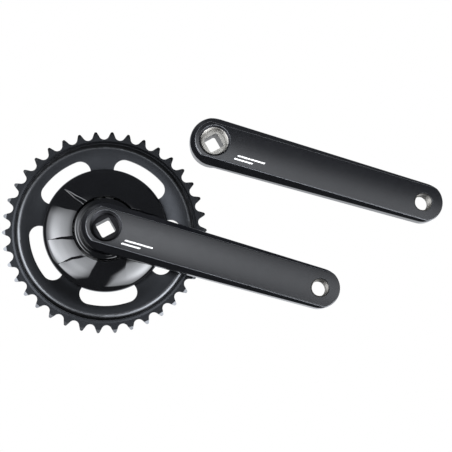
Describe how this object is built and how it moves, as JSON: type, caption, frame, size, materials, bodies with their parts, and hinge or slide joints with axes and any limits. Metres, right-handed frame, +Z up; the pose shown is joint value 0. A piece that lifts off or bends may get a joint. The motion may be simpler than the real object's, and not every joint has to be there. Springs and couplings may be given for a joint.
{
  "type": "bicycle crankset",
  "caption": "Bicycle crankset: black forged crank arm with toothed chainring and glossy domed guard disc, plus the matching loose left crank arm.",
  "frame": {"origin": "on the spindle axis of the drive-side crank, in the middle of the chainring teeth", "axes": "+X from the spindle axis to the pedal axis, +Y along the spindle axis towards the bicycle, +Z up; the outer faces look towards -Y"},
  "size_m": [0.3266, 0.0296, 0.1859],
  "materials": {
    "arm_paint": "satin black coating, bare metal in the threads",
    "ring_coating": "satin black",
    "carrier_alloy": "matt black",
    "spring_steel": "phosphated",
    "black_steel": "black oxide",
    "disc_plastic": "glossy",
    "bright_steel": "zinc plated"
  },
  "bodies": {
    "drive_crank": {"drive_crank_arm": "arm_paint", "chainring": "ring_coating", "chainring_carrier": "carrier_alloy", "carrier_retaining_ring": "spring_steel", "chainring_bolts": "black_steel", "chainring_nuts": "black_steel", "guard_disc": "disc_plastic", "guard_disc_screws": "bright_steel"},
    "left_crank": {"left_crank_arm": "arm_paint"}
  },
  "joints": [
    {"name": "left_crank_pull_off", "type": "slide", "parent": "drive_crank", "child": "left_crank", "axis": [0, -1, 0], "range_m": [0, 0.06]}
  ]
}
